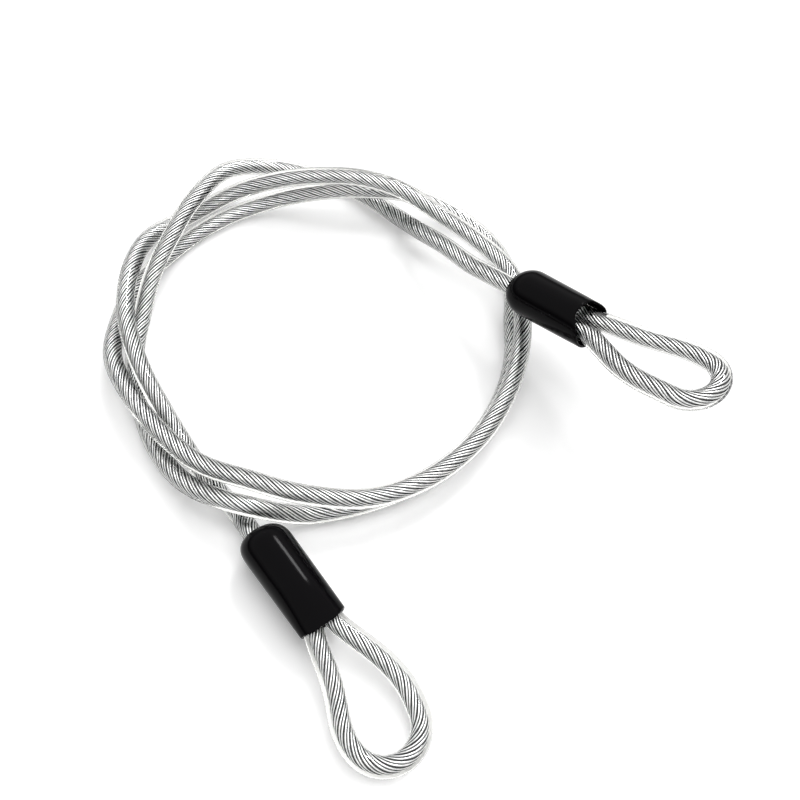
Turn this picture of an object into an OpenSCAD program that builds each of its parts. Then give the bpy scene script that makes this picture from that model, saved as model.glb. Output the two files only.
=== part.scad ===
// Double-eye security cable: a steel wire rope in a clear jacket, hand-coiled on a surface,
// with an eye at each end that an aluminium ferrule closes inside a black vinyl boot.

/* [Cable] */
// Outside diameter of the clear jacket
cable_d = 5; // [4.5:0.1:5]
// Diameter of the wire rope inside the jacket
rope_d = 2.6; // [2:0.1:3]

/* [Eyes] */
// Distance between the two legs where they leave the ferrule
leg_spacing = 5.2; // [5.1:0.1:5.4]
// Radius of the bend that starts each leg's flare
flare_r = 12; // [8:1:15]

/* [Eye A] */
// Angle at which each leg flares out
flare_angle_a = 14; // [13:1:18]
// Radius of the long bend along each side
side_r_a = 45; // [30:1:50]
// Angle of the long bend along each side
side_angle_a = 19; // [16:1:24]
// Radius of the bend round the tip
tip_r_a = 7.2; // [6.8:0.1:8]

/* [Eye B] */
// Angle at which each leg flares out
flare_angle_b = 16; // [14:1:20]
// Radius of the long bend along each side
side_r_b = 20; // [16:1:30]
// Angle of the long bend along each side
side_angle_b = 27; // [22:1:34]
// Radius of the bend round the tip
tip_r_b = 8.2; // [7.6:0.1:8.8]

/* [Ferrules] */
// Length of a ferrule
ferrule_l = 12.5; // [10:0.5:13]
// Metal round each of the two ropes
ferrule_wall = 1.1; // [0.8:0.1:1.2]
// Number of pressed grooves round a ferrule
crimp_count = 3; // [1:1:4]

/* [Boots] */
// Outside diameter of a boot at its rounded end
boot_d = 12.6; // [12.4:0.1:12.8]
// Outside diameter of a boot at its open end
mouth_d = 12; // [12:0.1:12.4]
// Length of boot A
boot_l_a = 26.2; // [25.5:0.1:27]
// Length of boot B
boot_l_b = 28; // [27:0.1:29]
// Thickness of the vinyl
wall = 0.7; // [0.6:0.05:0.7]

/* [Hidden] */
$fn = 48;
clearance = 0.05;
cable_r = cable_d / 2;
rope_r = rope_d / 2;
bore_r = rope_r + clearance;

CLEAR = [0.86, 0.88, 0.88, 0.45];
STEEL = [0.66, 0.67, 0.69];
ALUMINIUM = [0.78, 0.79, 0.80];
BLACK = [0.05, 0.05, 0.06];

// The two ends of the cable. Each has its own frame: x runs along the boot, from the rounded
// end towards the eye, y across the two legs, and the place is that of the rounded end's tip.
A = 0;
B = 1;
end_place = [[9, 61, 16], [-54.1, -6.5, 6.5]];
end_turn = [-46.5, -53];
end_rise = [14, -1];
// Where the cable enters the rounded end, across and up from the boot's axis
entry = [[-1, 0], [-0.9, -1.6]];
// How far the eye turns left and bends up from the boot's axis, just inside the open end
eye_turn = [1, -4.5];
eye_pitch = [0, -4.3];
// How far the eye leans to the left half way along, and the stretch over which it does
eye_lean = [-1, 1.1];
lean_span = [3, 30];

// Places along an end's x
jacket_end_x = 4;
ferrule_x = 10;
leg_jacket_x = ferrule_x + ferrule_l + 0.3;
eye_bend_x = 25.5;
mouth_x = 28;
dead_end_x = ferrule_x - 0.6;

// ---- The free cable's route ----

// Centre of the coil's rings on the surface
coil_centre = [-42, 58];
// The coil's turns, a station every 15 degrees from the first one: the radius from the centre
// and the height, from end A to end B. Each full turn is a row of 24 stations, from 45 degrees
// round to 30. A height of 2.5 lies on the surface, 8 lies on one turn and 13.5 on two.
first_station = 45;
station_step = 15;
turn_r = [
    39.5, 43.3, 48, 53.5, 59.5, 59.5, 54, 50, 49, 49.5, 51, 53,
    56.5, 60, 61, 58.5, 57, 56.5, 56, 55, 54, 53, 55.5, 56,
    54, 49, 45.5, 44.5, 46, 48, 49, 50.5, 53.5, 55.5, 56, 54.5,
    54, 54.5, 54.5, 57, 59, 59, 58, 56.5, 55.5, 55, 54, 50,
    47.5, 45.5, 44.5, 45, 47.5, 53, 56, 58.5, 55, 52.5, 50, 49,
    50, 54.5];
turn_z = [
    8, 3.4, 2.5, 2.5, 4, 8.7, 9.8, 8.7, 6.4, 2.5, 2.5, 2.5,
    2.5, 6, 9, 2.6, 2.5, 2.5, 2.5, 2.5, 2.5, 2.5, 2.5, 2.5,
    4, 8, 8.4, 7.2, 4.7, 2.5, 2.5, 2.5, 2.5, 2.5, 6, 8,
    8, 8, 9.5, 10.2, 8.6, 8, 8, 8, 8, 8, 8, 8.4,
    9, 12.6, 14, 13, 10.8, 5.7, 2.6, 4.2, 8, 8, 8, 7,
    3, 2.5];
coil_route = [for (i = [0:len(turn_r) - 1])
    let (angle = first_station + station_step * i)
    [coil_centre.x + turn_r[i] * cos(angle), coil_centre.y + turn_r[i] * sin(angle), turn_z[i]]];
last_station = len(coil_route) - 1;

// A place in an end's own frame, in the frame of the whole cable
function along(end) =
    [cos(end_rise[end]) * cos(end_turn[end]), cos(end_rise[end]) * sin(end_turn[end]), sin(end_rise[end])];
function across(end) = [-sin(end_turn[end]), cos(end_turn[end]), 0];
function at_entry(end, x) =
    end_place[end] + x * along(end) + entry[end][0] * across(end)
    + entry[end][1] * cross(along(end), across(end));

// Each tail leaves its boot straight and joins the coil
tail_a_route = [at_entry(A, jacket_end_x), at_entry(A, -1), at_entry(A, -8), at_entry(A, -14),
    [-7.5, 78, 11], coil_route[0]];
tail_b_route = [coil_route[last_station], [-65.5, 6.5, 2.5], [-62, 2.7, 2.5], [-58.5, -1.5, 2.5],
    at_entry(B, -1), at_entry(B, jacket_end_x)];

// The whole free cable, and the first and last ring of each of its three stretches
free_route = concat(tail_a_route, [for (i = [1:last_station - 1]) coil_route[i]], tail_b_route);
TAIL_A = [0, len(tail_a_route) - 1];
COIL = [TAIL_A[1], TAIL_A[1] + last_station];
TAIL_B = [COIL[1], len(free_route) - 1];

// ---- Swept tubes ----

function unit(v) = v / norm(v);
function toward(route, i) = unit(route[i + 1] - route[i]);
function heading(route, i) =
    i == 0 ? toward(route, 0)
    : i == len(route) - 1 ? toward(route, i - 1)
    : unit(toward(route, i - 1) + toward(route, i));
function ring(route, i, radius, sides) =
    let (t = heading(route, i), side = unit(cross(t, [0, 0, 1])), up = cross(side, t))
    [for (k = [0:sides - 1]) route[i] + radius * (cos(360 * k / sides) * side + sin(360 * k / sides) * up)];
// The points of a tube along part of a route: a span is its first and last ring
function rings(route, span, radius, sides) =
    [for (i = [span[0]:span[1]]) each ring(route, i, radius, sides)];
// Two triangles for each side of each stretch between two rings, the first ring's points at start
function skin(count, sides, start) = [for (i = [0:count - 2], k = [0:sides - 1])
    let (a = start + i * sides + k, b = start + i * sides + (k + 1) % sides)
    each [[a, b, b + sides], [a, b + sides, a + sides]]];
function flipped(faces) = [for (f = faces) [f[2], f[1], f[0]]];

// Solid tube, its flat ends each a fan of triangles
module rod(route, span, radius, sides) {
    count = span[1] - span[0] + 1;
    last = (count - 1) * sides;
    ends = [for (k = [1:sides - 2]) each [[0, k + 1, k], [last, last + k, last + k + 1]]];
    polyhedron(rings(route, span, radius, sides), concat(skin(count, sides, 0), ends));
}
// Hollow tube: an outer and an inner skin, joined by a flat ring of triangles at each end
module sleeve(route, span, radius, hollow, sides) {
    count = span[1] - span[0] + 1;
    inner = count * sides;
    last = inner - sides;
    ends = [for (k = [0:sides - 1]) let (n = (k + 1) % sides)
        each [[k, k + inner, n], [n, k + inner, n + inner],
            [last + k, last + n, last + inner + k], [last + n, last + inner + n, last + inner + k]]];
    polyhedron(concat(rings(route, span, radius, sides), rings(route, span, hollow, sides)),
        concat(skin(count, sides, 0), flipped(skin(count, sides, inner)), ends));
}

// ---- Checks on the route, printed ----

MEASURE_STEPS = 6;
measured = [for (i = [0:len(free_route) - 2], k = [0:MEASURE_STEPS - 1])
    free_route[i] + (free_route[i + 1] - free_route[i]) * k / MEASURE_STEPS];
APART = 2 * MEASURE_STEPS;
function length(route, i = 0) =
    i > len(route) - 2 ? 0 : norm(route[i + 1] - route[i]) + length(route, i + 1);
free_length = length(free_route);
least_gap = min([for (i = [0:len(measured) - 1 - APART], j = [i + APART:len(measured) - 1])
    norm(measured[i] - measured[j])]) - cable_d;
echo(free_length = free_length, least_gap = least_gap, rings = len(free_route));

CABLE_SIDES = 6;
module cable_jacket(span) color(CLEAR) sleeve(free_route, span, cable_r, bore_r, CABLE_SIDES);
module cable_rope(span) color(STEEL) rod(free_route, span, rope_r, CABLE_SIDES);

module coil_jacket() cable_jacket(COIL);
module coil_rope() cable_rope(COIL);
module tail_a_jacket() cable_jacket(TAIL_A);
module tail_a_rope() cable_rope(TAIL_A);
module tail_b_jacket() cable_jacket(TAIL_B);
module tail_b_rope() cable_rope(TAIL_B);

// ---- The pieces at each end ----

module place_end(end) {
    translate(end_place[end]) rotate([0, -end_rise[end], end_turn[end]]) children();
}

// The eye: out of the boot, round the tip and back, the same on both sides of the axis. The
// straight side is as long as it takes to bring the legs back to their spacing. A step of its
// flat path is [length, 0] for a straight, or [radius, angle] for a bend, left where positive.
flare_angle = [flare_angle_a, flare_angle_b];
side_r = [side_r_a, side_r_b];
side_angle = [side_angle_a, side_angle_b];
tip_r = [tip_r_a, tip_r_b];
to_flare = mouth_x - 1 - eye_bend_x;
function straight_side(end) = let (f = flare_angle[end], g = f - side_angle[end])
    (tip_r[end] * cos(g) + side_r[end] * (cos(f) - cos(g)) - flare_r * (1 - cos(f)) - leg_spacing / 2)
    / sin(f);
// One side of the eye, from the boot to the tip's bend
function side_steps(end) = [[to_flare, 0], [flare_r, flare_angle[end]], [straight_side(end), 0],
    [side_r[end], -side_angle[end]]];
function eye_steps(end) = concat(side_steps(end),
    [[tip_r[end], -180 - 2 * (flare_angle[end] - side_angle[end])]], turned(side_steps(end)));
BEND_STEP = 10;
function beside(radius, h) = radius * [sin(h), -cos(h)];
// The points of a flat path from p, heading along the angle h
function path(steps, p, h, i = 0) =
    i == len(steps) ? [p]
    : steps[i][1] == 0
    ? concat([p], path(steps, p + steps[i][0] * [cos(h), sin(h)], h, i + 1))
    : let (radius = sign(steps[i][1]) * steps[i][0], turn = steps[i][1], centre = p - beside(radius, h),
        count = ceil(abs(turn) / BEND_STEP))
    concat([for (k = [0:count - 1]) centre + beside(radius, h + turn * k / count)],
        path(steps, centre + beside(radius, h + turn), h + turn, i + 1));

// A point of the eye's flat path, leant, then turned and pitched at the bend
function lean(end, x) = x < lean_span[0] || x > lean_span[1] ? 0
    : eye_lean[end] * sin(180 * (x - lean_span[0]) / (lean_span[1] - lean_span[0])) ^ 2;
function in_eye(end, p) =
    let (side = p.y + lean(end, p.x),
        x = p.x * cos(eye_turn[end]) - side * sin(eye_turn[end]),
        y = p.x * sin(eye_turn[end]) + side * cos(eye_turn[end]))
    [eye_bend_x + x * cos(eye_pitch[end]), y, x * sin(eye_pitch[end])];
leg_y = leg_spacing / 2;
// From x = start on one leg, round the eye, to x = finish on the other
function eye_route(end, start, finish) = concat([[start, leg_y, 0]],
    [for (p = path(eye_steps(end), [0, leg_y], 0)) in_eye(end, p)], [[finish, -leg_y, 0]]);
// The stripped rope from the cable's end across to its leg
LEAD_STEPS = 6;
lead_x = [jacket_end_x + 0.8, ferrule_x - 0.4];
function lead(end) = concat([[jacket_end_x, entry[end][0], entry[end][1]]],
    [for (k = [0:LEAD_STEPS]) let (t = k / LEAD_STEPS, s = t * t * (3 - 2 * t))
        [lead_x[0] + t * (lead_x[1] - lead_x[0]),
            entry[end][0] * (1 - s) - leg_y * s, entry[end][1] * (1 - s)]]);
function turned(route) = [for (i = [len(route) - 1:-1:0]) route[i]];

EYE_SIDES = 12;
function whole(route) = [0, len(route) - 1];
module eye_jacket(end) color(CLEAR) place_end(end) {
    route = eye_route(end, leg_jacket_x, leg_jacket_x);
    sleeve(route, whole(route), cable_r, bore_r, EYE_SIDES);
}
module eye_rope(end) color(STEEL) place_end(end) {
    route = concat(eye_route(end, dead_end_x, ferrule_x + 1), turned(lead(end)));
    rod(route, whole(route), rope_r, EYE_SIDES);
}

// An oval sleeve pressed on both ropes
module oval(r) {
    for (y = [-1, 1] * leg_spacing / 2) translate([y, 0]) circle(r);
    translate([-leg_spacing / 2, -r]) square([leg_spacing, 2 * r]);
}
crimp_w = 1.4;
crimp_depth = 0.35;
ferrule_r = bore_r + ferrule_wall;
module ferrule(end) color(ALUMINIUM) place_end(end) translate([ferrule_x, 0, 0]) rotate([90, 0, 90])
    difference() {
        linear_extrude(ferrule_l) oval(ferrule_r);
        for (y = [-1, 1] * leg_spacing / 2) translate([y, 0, -1]) cylinder(h = ferrule_l + 2, r = bore_r);
        for (i = [1:crimp_count])
            translate([0, 0, ferrule_l * i / (crimp_count + 1) - crimp_w / 2])
            difference() {
                linear_extrude(crimp_w) oval(ferrule_r + 1);
                translate([0, 0, -1]) linear_extrude(crimp_w + 2) oval(ferrule_r - crimp_depth);
            }
    }

// A vinyl sleeve with one rounded end, which the cable enters through a hole beside the axis,
// and one open end with a rounded lip. It narrows a little towards the open end.
lip_r = wall / 2;
hole_r = cable_r + 2 * clearance;
hole_l = jacket_end_x + 2.5;
dome_r = boot_d / 2;
boot_l = [boot_l_a, boot_l_b];
// Half outline of the sleeve's outside, or of its hollow where inset is the wall
module boot_half(length, inset) {
    r = dome_r - inset;
    intersection() {
        translate([0, dome_r]) circle(r, $fn = 96);
        square([dome_r, dome_r]);
    }
    polygon([[0, dome_r], [r, dome_r], [mouth_d / 2 - inset, length], [0, length]]);
}
module boot(end) color(BLACK) place_end(end) translate([mouth_x - boot_l[end], 0, 0]) rotate([90, 0, 90])
    difference() {
        rotate_extrude($fn = 96) {
            intersection() {
                difference() {
                    boot_half(boot_l[end], 0);
                    boot_half(boot_l[end], wall);
                }
                square([boot_d, boot_l[end] - lip_r]);
            }
            translate([mouth_d / 2 - lip_r, boot_l[end] - lip_r]) circle(lip_r);
        }
        translate([entry[end][0], entry[end][1], -1]) cylinder(h = hole_l, r = hole_r);
    }

module eye_a_jacket() eye_jacket(A);
module eye_a_rope() eye_rope(A);
module ferrule_a() ferrule(A);
module boot_a() boot(A);
module eye_b_jacket() eye_jacket(B);
module eye_b_rope() eye_rope(B);
module ferrule_b() ferrule(B);
module boot_b() boot(B);

coil_jacket();
coil_rope();
tail_a_jacket();
tail_a_rope();
tail_b_jacket();
tail_b_rope();
eye_a_jacket();
eye_a_rope();
ferrule_a();
boot_a();
eye_b_jacket();
eye_b_rope();
ferrule_b();
boot_b();
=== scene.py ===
# %% [markdown]
# # A double-eye security cable
# A steel wire rope in a clear jacket lies in a loose hand-wound coil. Each end is turned back into
# an eye and pressed into an aluminium ferrule, which a black vinyl boot hides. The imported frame
# already holds every piece at its real size. This lesson gives the cable its looks.

# %% Load the frame
import math

import bpy
from mathutils import Matrix, Vector


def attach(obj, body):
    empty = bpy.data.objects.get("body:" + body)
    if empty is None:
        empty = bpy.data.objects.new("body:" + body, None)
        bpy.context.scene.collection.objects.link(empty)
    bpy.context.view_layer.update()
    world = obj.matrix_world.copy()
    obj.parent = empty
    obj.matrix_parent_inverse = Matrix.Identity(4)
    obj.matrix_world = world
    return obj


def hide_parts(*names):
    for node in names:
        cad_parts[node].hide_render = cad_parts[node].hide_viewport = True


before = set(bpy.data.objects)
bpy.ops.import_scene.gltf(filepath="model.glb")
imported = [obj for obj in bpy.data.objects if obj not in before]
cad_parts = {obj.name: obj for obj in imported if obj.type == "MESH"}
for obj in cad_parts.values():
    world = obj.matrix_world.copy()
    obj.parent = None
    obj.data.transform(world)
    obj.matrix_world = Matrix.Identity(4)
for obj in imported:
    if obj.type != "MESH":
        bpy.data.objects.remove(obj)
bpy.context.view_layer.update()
MM = 0.001
print("nodes:", sorted(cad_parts))

# %% [markdown]
# ## The camera
# The camera stands 253 mm from a point on the surface and looks down at 58 degrees. The angle and
# the lens were worked out once and never change.

# %% Camera
CAMERA_AIM = Vector((-20, 34, 0)) * MM
CAMERA_PLACE = CAMERA_AIM + Vector((0, -134.07, 214.56)) * MM
SENSOR, LENS = 36, 42.975
camera_data = bpy.data.cameras.new("camera")
camera_data.sensor_width = SENSOR
camera_data.lens = LENS
camera_data.clip_start = 0.01
camera = bpy.data.objects.new("camera", camera_data)
bpy.context.scene.collection.objects.link(camera)
camera.location = CAMERA_PLACE
camera.rotation_euler = (CAMERA_AIM - CAMERA_PLACE).to_track_quat("-Z", "Y").to_euler()
bpy.context.scene.camera = camera
print("camera is", round((CAMERA_PLACE - CAMERA_AIM).length * 1000), "mm away")

# %% [markdown]
# ## The cable's route
# A hand-wound cable never makes perfect circles, so its coil is kept as a table: the radius and the
# height every 15 degrees. Where one turn lies on another it is a cable's thickness higher. A smooth
# curve through these stations gives the line that the jacket and every strand follow.

# %% Each end's own frame
A, B = 0, 1
END_PLACE = [Vector((9, 61, 16)), Vector((-54.1, -6.5, 6.5))]
END_TURN = [-46.5, -53]
END_RISE = [14, -1]
ENTRY = [(-1, 0), (-0.9, -1.6)]


def end_axes(end):
    turn, rise = math.radians(END_TURN[end]), math.radians(END_RISE[end])
    along = Vector((math.cos(rise) * math.cos(turn), math.cos(rise) * math.sin(turn), math.sin(rise)))
    across = Vector((-math.sin(turn), math.cos(turn), 0))
    return along, across, along.cross(across)


def in_end(end, x, y=0, z=0):
    along, across, up = end_axes(end)
    return END_PLACE[end] + x * along + y * across + z * up


for end in (A, B):
    print("end", "AB"[end], "tip at", [round(v, 1) for v in in_end(end, 0)])

# %% Stations of the coil
COIL_CENTRE, FIRST_STATION, STATION_STEP = Vector((-42, 58, 0)), 45, 15
TURN_R = [
    39.5, 43.3, 48, 53.5, 59.5, 59.5, 54, 50, 49, 49.5, 51, 53,
    56.5, 60, 61, 58.5, 57, 56.5, 56, 55, 54, 53, 55.5, 56,
    54, 49, 45.5, 44.5, 46, 48, 49, 50.5, 53.5, 55.5, 56, 54.5,
    54, 54.5, 54.5, 57, 59, 59, 58, 56.5, 55.5, 55, 54, 50,
    47.5, 45.5, 44.5, 45, 47.5, 53, 56, 58.5, 55, 52.5, 50, 49,
    50, 54.5]
TURN_Z = [
    8, 3.4, 2.5, 2.5, 4, 8.7, 9.8, 8.7, 6.4, 2.5, 2.5, 2.5,
    2.5, 6, 9, 2.6, 2.5, 2.5, 2.5, 2.5, 2.5, 2.5, 2.5, 2.5,
    4, 8, 8.4, 7.2, 4.7, 2.5, 2.5, 2.5, 2.5, 2.5, 6, 8,
    8, 8, 9.5, 10.2, 8.6, 8, 8, 8, 8, 8, 8, 8.4,
    9, 12.6, 14, 13, 10.8, 5.7, 2.6, 4.2, 8, 8, 8, 7,
    3, 2.5]
coil = []
for i, (r, z) in enumerate(zip(TURN_R, TURN_Z)):
    angle = math.radians(FIRST_STATION + STATION_STEP * i)
    coil.append(COIL_CENTRE + Vector((r * math.cos(angle), r * math.sin(angle), z)))
tail_a = [in_end(A, x, *ENTRY[A]) for x in (4, -1, -8, -14)] + [Vector((-7.5, 78, 11))]
tail_b = [Vector((-65.5, 6.5, 2.5)), Vector((-62, 2.7, 2.5)), Vector((-58.5, -1.5, 2.5))]
tail_b += [in_end(B, x, *ENTRY[B]) for x in (-1, 4)]
route = tail_a + coil + tail_b
print(len(route), "stations,", round(sum((b - a).length for a, b in zip(route, route[1:]))), "mm")


# %% A smooth line through stations
CABLE_R = 2.5


def smooth_line(stations, step):
    """Points about a step apart on a Catmull-Rom curve through the stations."""
    line = []
    for i in range(len(stations) - 1):
        p0, p1, p2, p3 = (stations[min(max(k, 0), len(stations) - 1)] for k in range(i - 1, i + 3))
        count = max(1, round((p2 - p1).length / step))
        for k in range(count):
            u = k / count
            line.append(0.5 * (2 * p1 + (p2 - p0) * u + (2 * p0 - 5 * p1 + 4 * p2 - p3) * u * u
                               + (3 * p1 - p0 - 3 * p2 + p3) * u ** 3))
    return line + [stations[-1]]


def length_of(line):
    return sum((b - a).length for a, b in zip(line, line[1:]))


def cable_points(step):
    """The cable's line, which never sinks below its own radius above the surface."""
    return [Vector((p.x, p.y, max(p.z, CABLE_R))) for p in smooth_line(route, step)]


cable_line = cable_points(1.5)
print("cable line:", len(cable_line), "points,", round(length_of(cable_line), 1), "mm")

# %% [markdown]
# ## The eyes' route
# Each eye is a teardrop: two legs leave the ferrule side by side, flare apart, curve in along their
# sides and meet round the tip. It is a chain of straights and bends, walked one step at a time.

# %% The eye's line
FERRULE_X, FERRULE_END, EYE_BEND_X, LEG_Y = 10, 22.5, 25.5, 2.6
EYE_TURN, EYE_PITCH, EYE_LEAN = [1, -4.5], [0, -4.3], [-1, 1.1]
FLARE_R, FIRST_STRAIGHT = 12, 1.5
LEAN_FROM, LEAN_TO = 3, 30
FLARE, SIDE_R, SIDE, TIP_R = [14, 16], [45, 20], [19, 27], [7.2, 8.2]


def cosd(a):
    return math.cos(math.radians(a))


def sind(a):
    return math.sin(math.radians(a))


def eye_path(end):
    """The eye laid flat, as (x, y) from one leg round the tip to the other."""
    f, g = FLARE[end], FLARE[end] - SIDE[end]
    straight = (TIP_R[end] * cosd(g) + SIDE_R[end] * (cosd(f) - cosd(g))
                - FLARE_R * (1 - cosd(f)) - LEG_Y) / sind(f)
    half = [(FIRST_STRAIGHT, 0), (FLARE_R, f), (straight, 0), (SIDE_R[end], -SIDE[end])]
    x, y, heading, points = 0, LEG_Y, 0, []
    for size, bend in half + [(TIP_R[end], -(180 + 2 * g))] + half[::-1]:
        count = max(2, math.ceil(abs(bend) / 5)) if bend else max(2, round(size / 1.5))
        for k in range(count + 1):
            h = heading + bend * k / count
            if bend:
                r = math.copysign(size, bend)
                p = (x + r * (sind(h) - sind(heading)), y - r * (cosd(h) - cosd(heading)))
            else:
                p = (x + size * k / count * cosd(heading), y + size * k / count * sind(heading))
            if k < count:
                points.append(p)
        (x, y), heading = p, heading + bend
    return points + [p]


def eye_line(end, start, finish):
    """The eye's line from x = start on one leg to x = finish on the other."""
    flat = []
    for x, y in eye_path(end):
        if LEAN_FROM < x < LEAN_TO:
            y += EYE_LEAN[end] * sind(180 * (x - LEAN_FROM) / (LEAN_TO - LEAN_FROM)) ** 2
        u = x * cosd(EYE_TURN[end]) - y * sind(EYE_TURN[end])
        v = x * sind(EYE_TURN[end]) + y * cosd(EYE_TURN[end])
        flat.append((EYE_BEND_X + u * cosd(EYE_PITCH[end]), v, u * sind(EYE_PITCH[end])))
    first = [(start + (EYE_BEND_X - start) * k / 6, LEG_Y, 0) for k in range(6)]
    last = [(EYE_BEND_X - (EYE_BEND_X - finish) * k / 6, -LEG_Y, 0) for k in range(1, 7)]
    return [in_end(end, *p) for p in first + flat + last]


eyes = [eye_line(end, FERRULE_END + 0.3, FERRULE_END + 0.3) for end in (A, B)]
print("eye jackets:", [round(length_of(line), 1) for line in eyes], "mm")

# %% [markdown]
# ## Clear PVC
# The jacket is soft PVC drawn over the rope while hot, and clear enough to show every strand. Light
# bends as it enters, so the rope looks half as thick again as it is and leaves a bright band along
# the edge. A real refraction gives both, where a thin see-through skin would give neither.


# %% Helpers for materials
def srgb(text):
    """A colour written as hex, turned to the linear values Blender's sockets hold."""
    out = []
    for i in (0, 2, 4):
        c = int(text[i:i + 2], 16) / 255
        out.append(c / 12.92 if c <= 0.04045 else ((c + 0.055) / 1.055) ** 2.4)
    return (*out, 1)


def add_node(tree, kind, settings=(), inputs=(), links=()):
    """One node with its settings and input values, fed by links of (input, source socket)."""
    node = tree.nodes.new(kind)
    for name, value in dict(settings).items():
        setattr(node, name, value)
    for name, value in dict(inputs).items():
        node.inputs[name].default_value = value
    for name, source in links:
        tree.links.new(source, node.inputs[name])
    return node


def new_material(name):
    material = bpy.data.materials.new(name)
    material.use_nodes = True
    tree = material.node_tree
    return material, tree, tree.nodes["Principled BSDF"]


# %% Clear PVC
clear_pvc, tree, shader = new_material("clear PVC, extruded")
shader.inputs["Transmission Weight"].default_value = 1
shader.inputs["IOR"].default_value = 1.53
shader.inputs["Roughness"].default_value = 0.03
coords = add_node(tree, "ShaderNodeTexCoord")
# Extrusion leaves faint waves a few millimetres long on the skin
waves = add_node(tree, "ShaderNodeTexNoise", inputs={"Scale": 260, "Detail": 1},
                 links=[("Vector", coords.outputs["Object"])])
bump = add_node(tree, "ShaderNodeBump", inputs={"Strength": 0.05, "Distance": 0.0002},
                links=[("Height", waves.outputs["Fac"])])
tree.links.new(bump.outputs["Normal"], shader.inputs["Normal"])
# Towards its rim the plastic is tinted dark grey, a painted shade for the thin dark edge line
rim = add_node(tree, "ShaderNodeLayerWeight", inputs={"Blend": 0.5})
rim_shade = add_node(tree, "ShaderNodeValToRGB", links=[("Fac", rim.outputs["Facing"])])
rim_shade.color_ramp.elements[0].position = 0.66
rim_shade.color_ramp.elements[0].color = srgb("fdfdfa")
rim_shade.color_ramp.elements[1].position = 0.84
rim_shade.color_ramp.elements[1].color = srgb("3c3c3b")
tree.links.new(rim_shade.outputs["Color"], shader.inputs["Base Color"])
# Clear plastic hardly stops the lamp's light
rays = add_node(tree, "ShaderNodeLightPath")
through = add_node(tree, "ShaderNodeMath", {"operation": "MULTIPLY"}, {1: 0.75},
                   [(0, rays.outputs["Is Shadow Ray"])])
clear = add_node(tree, "ShaderNodeBsdfTransparent")
both = add_node(tree, "ShaderNodeMixShader",
                links=[(0, through.outputs[0]), (1, shader.outputs[0]), (2, clear.outputs[0])])
tree.links.new(both.outputs[0], tree.nodes["Material Output"].inputs["Surface"])
print("made", clear_pvc.name)

# %% [markdown]
# ## Galvanised steel wire
# Drawn wire is hot-dipped in zinc, which leaves a bright grey skin with duller patches. Between the
# wires the colour is painted near black, a painted shade for the shadow there, and that contrast is
# what makes the strands readable.

# %% Galvanised wire
galvanised_wire, tree, shader = new_material("galvanised steel wire, drawn")
shader.inputs["Metallic"].default_value = 1
coords = add_node(tree, "ShaderNodeTexCoord")
# Zinc patches a few millimetres across
patches = add_node(tree, "ShaderNodeTexNoise", inputs={"Scale": 400, "Detail": 3},
                   links=[("Vector", coords.outputs["Object"])])
zinc = add_node(tree, "ShaderNodeValToRGB", links=[("Fac", patches.outputs["Fac"])])
zinc.color_ramp.elements[0].position = 0.3
zinc.color_ramp.elements[0].color = srgb("dcdee0")
zinc.color_ramp.elements[1].position = 0.7
zinc.color_ramp.elements[1].color = srgb("fafafa")
painted_gap_shade = add_node(tree, "ShaderNodeAttribute", {"attribute_name": "painted_gap_shade"})
# The marks say where shade is painted between the wires; noise makes it wider in some places
shade_spread = add_node(tree, "ShaderNodeTexNoise", inputs={"Scale": 900, "Detail": 1},
                 links=[("Vector", coords.outputs["Object"])])
width = add_node(tree, "ShaderNodeMath", {"operation": "MULTIPLY_ADD"}, {1: 0.5},
                 [(0, shade_spread.outputs["Fac"]), (2, painted_gap_shade.outputs["Fac"])])
depth = add_node(tree, "ShaderNodeMapRange", inputs={"From Min": 0.5, "From Max": 1.0},
                 links=[("Value", width.outputs[0])])
# Near black is mixed in by the marks: a painted shade for the shadow between wires and strands
zinc_and_gap_shade = add_node(tree, "ShaderNodeMix", {"data_type": "RGBA"}, {7: srgb("141518")},
                  [(0, depth.outputs["Result"]), (6, zinc.outputs["Color"])])
tree.links.new(zinc_and_gap_shade.outputs[2], shader.inputs["Base Color"])
dull = add_node(tree, "ShaderNodeMapRange", inputs={"To Min": 0.22, "To Max": 0.36},
                links=[("Value", patches.outputs["Fac"])])
tree.links.new(dull.outputs["Result"], shader.inputs["Roughness"])
print("made", galvanised_wire.name)

# %% [markdown]
# ## The jackets
# A jacket is a round tube of constant thickness, so a curve with a round bevel is all it takes. The
# curve's own line is the cable's real line, and its length is the cable's real length.

# %% Curves along a line
def curve_along(name, line, radius=0, profile=None, lay=0, sides=32):
    """A tube, or an outline that turns once round in every lay of its length."""
    data = bpy.data.curves.new(name, "CURVE")
    data.dimensions = "3D"
    data.use_fill_caps = True
    data.twist_mode = "MINIMUM"
    if profile:
        data.bevel_mode, data.bevel_object = "OBJECT", profile
    else:
        data.bevel_depth, data.bevel_resolution = radius * MM, sides // 4 - 1
    spline = data.splines.new("POLY")
    spline.points.add(len(line) - 1)
    s = 0
    for i, point in enumerate(spline.points):
        s += (line[i] - line[i - 1]).length if i else 0
        point.co = (*(line[i] * MM), 1)
        point.tilt = 2 * math.pi * s / lay if lay else 0
    spline.use_smooth = True
    piece = bpy.data.objects.new(name, data)
    bpy.context.scene.collection.objects.link(piece)
    return piece


def made_mesh(pieces, name):
    """Turns pieces into meshes and joins them as one."""
    bpy.ops.object.select_all(action="DESELECT")
    for piece in pieces:
        piece.select_set(True)
    bpy.context.view_layer.objects.active = pieces[0]
    bpy.ops.object.convert(target="MESH")
    if len(pieces) > 1:
        bpy.ops.object.join()
    piece = bpy.context.view_layer.objects.active
    piece.name = name
    bpy.ops.object.select_all(action="DESELECT")
    return piece


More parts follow.
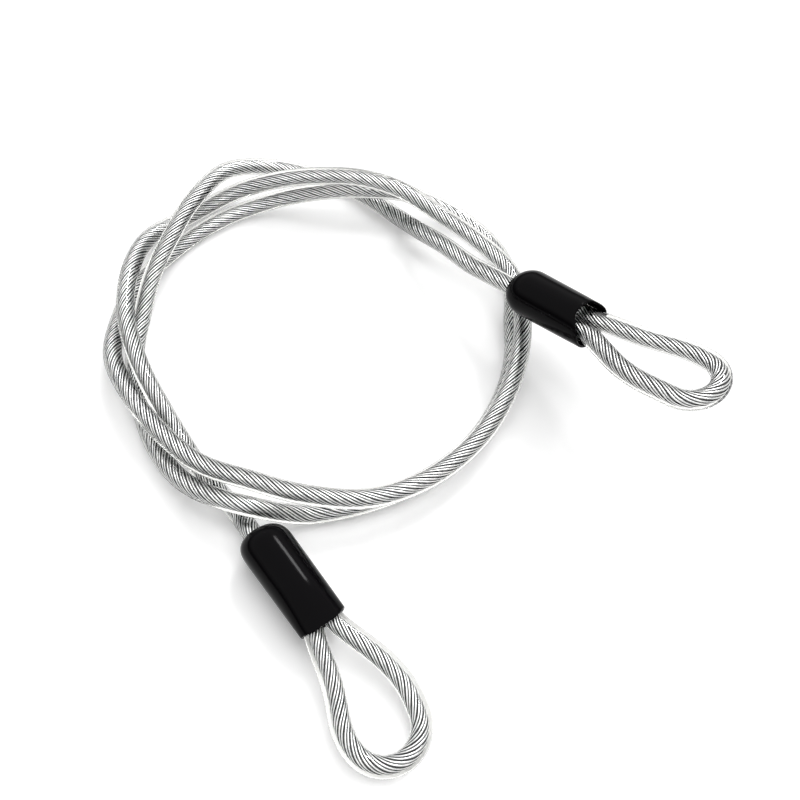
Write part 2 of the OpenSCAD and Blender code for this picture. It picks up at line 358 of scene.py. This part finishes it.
cable_jacket = curve_along("cable_jacket", cable_line[::2] + cable_line[-1:], CABLE_R)
cable_jacket.data.materials.append(clear_pvc)
eye_jackets = []
for end in (A, B):
    jacket = made_mesh([curve_along("j", eyes[end], CABLE_R)], "eye_jacket_" + "ab"[end])
    jacket.data.materials.append(clear_pvc)
    eye_jackets.append(jacket)
print("jackets:", cable_jacket.name, [j.name for j in eye_jackets])

# %% [markdown]
# ## The wire rope
# Six strands lie round a hidden middle one in a right-hand helix. Only their outer skin is ever
# seen, so the rope is one outline, swept along the cable while it turns once in every lay. Each
# strand shows two wires, where a real one shows three that are too fine to see from here. Where
# the gaps between them lie is marked on the mesh as it is made, and the wire's colour is painted
# near black there, a painted shade for the shadow in the gaps. In a bend the rope is pulled
# towards the inside of the soft jacket, so its line is shifted a little.

# %% The rope's outline
ROPE_R, WIRE_R, LAY = 1.3, 0.27, 18.5
# Half the angle between a strand's two wires, and how far in the valleys lie between the wires and
# between the strands
HALF_PAIR, NOTCH_R, GAP_R = 14, 1.1, 0.88
gap_shade_marks = []


def rope_outline():
    """The rope end on, clockwise, with a painted shade mark per point: 0 on a wire, 1 between wires."""
    points = []
    gap_shade_marks.clear()
    for strand in range(6):
        middle = -60 * strand
        for at, turns in ((middle + HALF_PAIR, (70, 40, 10, -20, -50)),
                          (middle - HALF_PAIR, (50, 20, -10, -40, -70))):
            for turn in turns:
                points.append(((ROPE_R - WIRE_R) * cosd(at) + WIRE_R * cosd(at + turn),
                               (ROPE_R - WIRE_R) * sind(at) + WIRE_R * sind(at + turn)))
            floor, side = (NOTCH_R, 0) if at > middle else (GAP_R, 30)
            points.append((floor * cosd(middle - side), floor * sind(middle - side)))
        # Painted shade marks: 1 in the valleys, 0.7 to 0.75 on the wires' flanks beside them, 0 on top
        gap_shade_marks.extend((1, 0.7, 0, 0, 0.75, 1, 0.75, 0, 0, 0.7, 1, 1))
    data = bpy.data.curves.new("rope_outline", "CURVE")
    data.dimensions = "2D"
    spline = data.splines.new("POLY")
    spline.points.add(len(points) - 1)
    for point, (x, y) in zip(spline.points, points):
        point.co = (x * MM, y * MM, 0, 1)
    spline.use_cyclic_u = True
    outline = bpy.data.objects.new("rope_outline", data)
    bpy.context.scene.collection.objects.link(outline)
    return outline


# %% Ropes
def shifted(line, shift, fade=15):
    """The line moved sideways, less and less over the last millimetres at each end."""
    out, s, total = [], 0, length_of(line)
    for i, p in enumerate(line):
        s += (p - line[i - 1]).length if i else 0
        t = line[min(i + 1, len(line) - 1)] - line[max(i - 1, 0)]
        side = t.cross(Vector((0, 0, 1))).normalized()
        out.append(p + shift * min(1, s / fade, (total - s) / fade) * side)
    return out


def rope(name, line):
    outline = rope_outline()
    piece = made_mesh([curve_along(name, line, profile=outline, lay=LAY)], name)
    bpy.data.objects.remove(outline)
    # Each point's mark says how dark the wire's colour is painted there, a painted shade for the gaps
    marks = piece.data.attributes.new("painted_gap_shade", "FLOAT", "POINT")
    for i, mark in enumerate(marks.data):
        mark.value = gap_shade_marks[i % len(gap_shade_marks)]
    piece.data.materials.clear()
    piece.data.materials.append(galvanised_wire)
    return piece


CABLE_SHIFT, EYE_SHIFT, EYE_FADE = -0.14, 0.24, 20
cable_rope = rope("cable_rope", shifted(cable_points(1.25), CABLE_SHIFT))
eye_ropes = []
for end in (A, B):
    line = smooth_line(eye_line(end, FERRULE_X, FERRULE_X), 1)
    eye_ropes.append(rope("eye_rope_" + "ab"[end], shifted(line, EYE_SHIFT, EYE_FADE)))
triangles = [sum(len(p.vertices) - 2 for p in r.data.polygons) for r in [cable_rope] + eye_ropes]
print("rope triangles:", triangles)

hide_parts("coil_jacket", "tail_a_jacket", "tail_b_jacket")
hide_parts("coil_rope", "tail_a_rope", "tail_b_rope")
for end in (A, B):
    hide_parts("eye_%s_jacket" % "ab"[end])
    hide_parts("eye_%s_rope" % "ab"[end])
for piece in [cable_jacket, cable_rope] + eye_jackets + eye_ropes:
    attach(piece, "root")

# %% [markdown]
# ## Black vinyl
# The boots are dip-moulded: a hot rod goes into liquid vinyl, and the skin that sets on it has a
# wet shine with a slight waviness.

# %% Black vinyl
black_vinyl, tree, shader = new_material("black vinyl, dip-moulded")
shader.inputs["Base Color"].default_value = srgb("060507")
shader.inputs["Roughness"].default_value = 0.15
shader.inputs["IOR"].default_value = 1.14
coords = add_node(tree, "ShaderNodeTexCoord")
waves = add_node(tree, "ShaderNodeTexNoise", inputs={"Scale": 180, "Detail": 2},
                 links=[("Vector", coords.outputs["Object"])])
bump = add_node(tree, "ShaderNodeBump", inputs={"Strength": 0.12, "Distance": 0.0003},
                links=[("Height", waves.outputs["Fac"])])
tree.links.new(bump.outputs["Normal"], shader.inputs["Normal"])
print("made", black_vinyl.name)

# %% [markdown]
# ## The boots
# A boot is a thin sleeve that starts at a hole the cable just fills, swells over a dome and runs
# almost straight to its open end. The hole isn't in the middle, so the dome leans towards the cable.
# It is pulled out of one circle, ring by ring, and Solidify gives it its wall. BLUNT makes a dome
# fuller or flatter than half a ball. The open end is pressed down on the two legs, more at one end
# of the cable than at the other, and a proportional edit draws the top of its lip back or out.

# %% Boots
MOUTH_X, DOME_R, MOUTH_R, WALL = 28, 6.3, 6.0, 0.7
BOOT_X = [1.8, 0]
BLUNT = [0.95, 0.75]
MOUTH_UP = [5.9, 3.8]
LIP = [-2.8, 1.6]
DOME_RINGS, BODY_RINGS = 12, 12
# Where along the body the open end starts to be pressed down, and how slowly that begins
PRESS_FROM, PRESS_POWER = 0.58, 1.6


def boot_rings(end):
    """Each ring's place along the boot, half width, half height and centre."""
    rings = []
    first = math.degrees(math.asin(((CABLE_R + 0.05) / DOME_R) ** (1 / BLUNT[end])))
    for k in range(DOME_RINGS):
        u = k / (DOME_RINGS - 1)
        a = first + (90 - first) * u
        lean = (1 - u) ** 1.5
        r = DOME_R * sind(a) ** BLUNT[end]
        x = BOOT_X[end] + DOME_R * (1 - max(cosd(a), 0) ** BLUNT[end])
        rings.append((x, r, r, ENTRY[end][0] * lean, ENTRY[end][1] * lean))
    start = rings[-1][0]
    for k in range(1, BODY_RINGS + 1):
        u = k / BODY_RINGS
        r = DOME_R + (MOUTH_R - DOME_R) * u
        press = max(0, (u - PRESS_FROM) / (1 - PRESS_FROM)) ** PRESS_POWER
        press = press * press * (3 - 2 * press)
        rings.append((start + (MOUTH_X - start) * u, r, r + (MOUTH_UP[end] - r) * press, 0, 0))
    return rings


def make_boot(end):
    rings = boot_rings(end)
    x, wide, high, across, up = rings[0]
    bpy.ops.object.select_all(action="DESELECT")
    bpy.ops.mesh.primitive_circle_add(vertices=72, radius=MM, location=(0, 0, 0))
    piece = bpy.context.active_object
    bpy.ops.object.mode_set(mode="EDIT")
    bpy.ops.transform.resize(value=(wide, high, 1), center_override=(0, 0, 0))
    bpy.ops.transform.translate(value=(across * MM, up * MM, x * MM))
    for (x0, w0, h0, a0, u0), (x1, w1, h1, a1, u1) in zip(rings, rings[1:]):
        bpy.ops.mesh.extrude_region_move(
            TRANSFORM_OT_translate={"value": ((a1 - a0) * MM, (u1 - u0) * MM, (x1 - x0) * MM)})
        bpy.ops.transform.resize(value=(w1 / w0, h1 / h0, 1),
                                 center_override=(a1 * MM, u1 * MM, x1 * MM))
    bpy.ops.mesh.select_all(action="DESELECT")
    bpy.ops.object.mode_set(mode="OBJECT")
    for v in piece.data.vertices:
        v.select = v.co.z > (MOUTH_X - 0.1) * MM and v.co.y > 0.93 * MOUTH_UP[end] * MM
    bpy.ops.object.mode_set(mode="EDIT")
    bpy.ops.transform.translate(value=(0, 0, LIP[end] * MM), use_proportional_edit=True,
                                proportional_edit_falloff="SMOOTH", proportional_size=6 * MM)
    bpy.ops.mesh.select_all(action="SELECT")
    bpy.ops.mesh.normals_make_consistent(inside=False)
    bpy.ops.object.mode_set(mode="OBJECT")
    skin = piece.modifiers.new("wall", "SOLIDIFY")
    skin.thickness, skin.offset = WALL * MM, -1
    edge = piece.modifiers.new("lip", "BEVEL")
    edge.width, edge.segments, edge.limit_method = 0.3 * MM, 4, "ANGLE"
    edge.angle_limit = math.radians(50)
    for name in ("wall", "lip"):
        bpy.ops.object.modifier_apply(modifier=name)
    along, side, up = end_axes(end)
    turn = Matrix((side, up, along)).transposed().to_4x4()
    piece.data.transform(Matrix.Translation(END_PLACE[end] * MM) @ turn)
    bpy.ops.object.shade_smooth()
    piece.name = "boot_" + "ab"[end] + "_vinyl"
    piece.data.materials.append(black_vinyl)
    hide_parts("boot_" + "ab"[end])
    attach(piece, "root")
    return piece


boots = [make_boot(end) for end in (A, B)]
print("boots:", [len(b.data.polygons) for b in boots], "faces")

# %% [markdown]
# ## Aluminium
# Each ferrule is an oval sleeve pressed on the two ropes. The boots hide them, so they keep the
# shape that the frame gives them and only take on the grey of pressed aluminium.

# %% Aluminium
pressed_aluminium, tree, shader = new_material("aluminium, pressed")
shader.inputs["Metallic"].default_value = 1
shader.inputs["Roughness"].default_value = 0.35
coords = add_node(tree, "ShaderNodeTexCoord")
marks = add_node(tree, "ShaderNodeTexNoise", inputs={"Scale": 900, "Detail": 4},
                 links=[("Vector", coords.outputs["Object"])])
tone = add_node(tree, "ShaderNodeValToRGB", links=[("Fac", marks.outputs["Fac"])])
tone.color_ramp.elements[0].color = srgb("b4b6b9")
tone.color_ramp.elements[1].color = srgb("d9dbdd")
tree.links.new(tone.outputs["Color"], shader.inputs["Base Color"])
for node in ("ferrule_a", "ferrule_b"):
    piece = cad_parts[node]
    piece.data.materials.clear()
    piece.data.materials.append(pressed_aluminium)
print("made", pressed_aluminium.name)

# %% [markdown]
# ## The surface
# The cable lies on a matt white board. A white paint alone would render grey in soft light, and
# more light would wash out the wires. So the board adds a little white of its own, only for what
# the camera sees straight on, mirrored or through the plastic, and it keeps the cable's shadow.

# %% Surface
WHITE_LIFT = 0.24


def seen_rays(tree):
    """The light path, and a value of 1 for rays of the camera, mirrors and clear plastic."""
    rays = add_node(tree, "ShaderNodeLightPath")
    seen = add_node(tree, "ShaderNodeMath", {"operation": "MAXIMUM"},
                    links=[(0, rays.outputs["Is Camera Ray"]), (1, rays.outputs["Is Glossy Ray"])])
    seen = add_node(tree, "ShaderNodeMath", {"operation": "MAXIMUM"},
                    links=[(0, seen.outputs[0]), (1, rays.outputs["Is Transmission Ray"])])
    return rays, seen


bpy.ops.object.select_all(action="DESELECT")
bpy.ops.mesh.primitive_plane_add(size=3)
surface = bpy.context.active_object
surface.name = "surface"
white_board, tree, shader = new_material("white board, matt")
shader.inputs["Base Color"].default_value = (0.93, 0.93, 0.93, 1)
shader.inputs["Roughness"].default_value = 0.9
shader.inputs["Specular IOR Level"].default_value = 0.1
rays, seen = seen_rays(tree)
lift = add_node(tree, "ShaderNodeMath", {"operation": "MULTIPLY"}, {1: WHITE_LIFT}, [(0, seen.outputs[0])])
shader.inputs["Emission Color"].default_value = (1, 1, 1, 1)
tree.links.new(lift.outputs[0], shader.inputs["Emission Strength"])
surface.data.materials.append(white_board)
print("made", surface.name, "of", white_board.name)

# %% [markdown]
# ## Light and surroundings
# A broad lamp, high at the back right, gives the soft shadows to the lower left. It would spread a
# pale patch over the boots, so it isn't mirrored. A small one is, and draws the thin streak on the
# vinyl. Round them stands a room with dark walls and a white ceiling, which only mirrored rays see:
# it gives the wires their contrast, while what is seen through the plastic stays white.

# %% Lamps
def sun(name, energy, angle, towards, mirrored):
    data = bpy.data.lights.new(name, "SUN")
    data.energy, data.angle = energy, math.radians(angle)
    lamp = bpy.data.objects.new(name, data)
    lamp.visible_glossy = mirrored
    bpy.context.scene.collection.objects.link(lamp)
    lamp.rotation_euler = Vector(towards).to_track_quat("-Z", "Y").to_euler()


sun("key", 2.2, 60, (-0.25, -0.37, -0.9), False)
sun("glint", 0.75, 10, (-0.3, -0.63, -0.69), True)
print("lamps: key and glint")

# %% Surroundings
WALLS, CEILING, FILL = 0.15, 1.7, 0.35
world = bpy.data.worlds.new("surroundings")
bpy.context.scene.world = world
world.use_nodes = True
tree = world.node_tree
tree.nodes.clear()
# The walls brighten towards the ceiling
coords = add_node(tree, "ShaderNodeTexCoord")
height = add_node(tree, "ShaderNodeSeparateXYZ", links=[("Vector", coords.outputs["Generated"])])
room = add_node(tree, "ShaderNodeMapRange",
                inputs={"From Min": 0.1, "From Max": 0.4, "To Min": WALLS, "To Max": CEILING},
                links=[("Value", height.outputs["Z"])])
rays, seen = seen_rays(tree)
# The room shows in what is mirrored; what is seen straight on or through the plastic is white
mirrored = add_node(tree, "ShaderNodeMath", {"operation": "GREATER_THAN"}, {1: 0.5},
                    [(0, rays.outputs["Glossy Depth"])])
shown = add_node(tree, "ShaderNodeMix", inputs={2: 1},
                 links=[(0, mirrored.outputs[0]), (3, room.outputs["Result"])])
# All other rays carry the soft light that the room sheds on the cable
level = add_node(tree, "ShaderNodeMix", inputs={2: FILL},
                 links=[(0, seen.outputs[0]), (3, shown.outputs[0])])
light = add_node(tree, "ShaderNodeBackground", links=[("Strength", level.outputs[0])])
output = add_node(tree, "ShaderNodeOutputWorld")
tree.links.new(light.outputs[0], output.inputs[0])
bpy.context.scene.view_settings.view_transform = "Standard"
print("made", world.name)
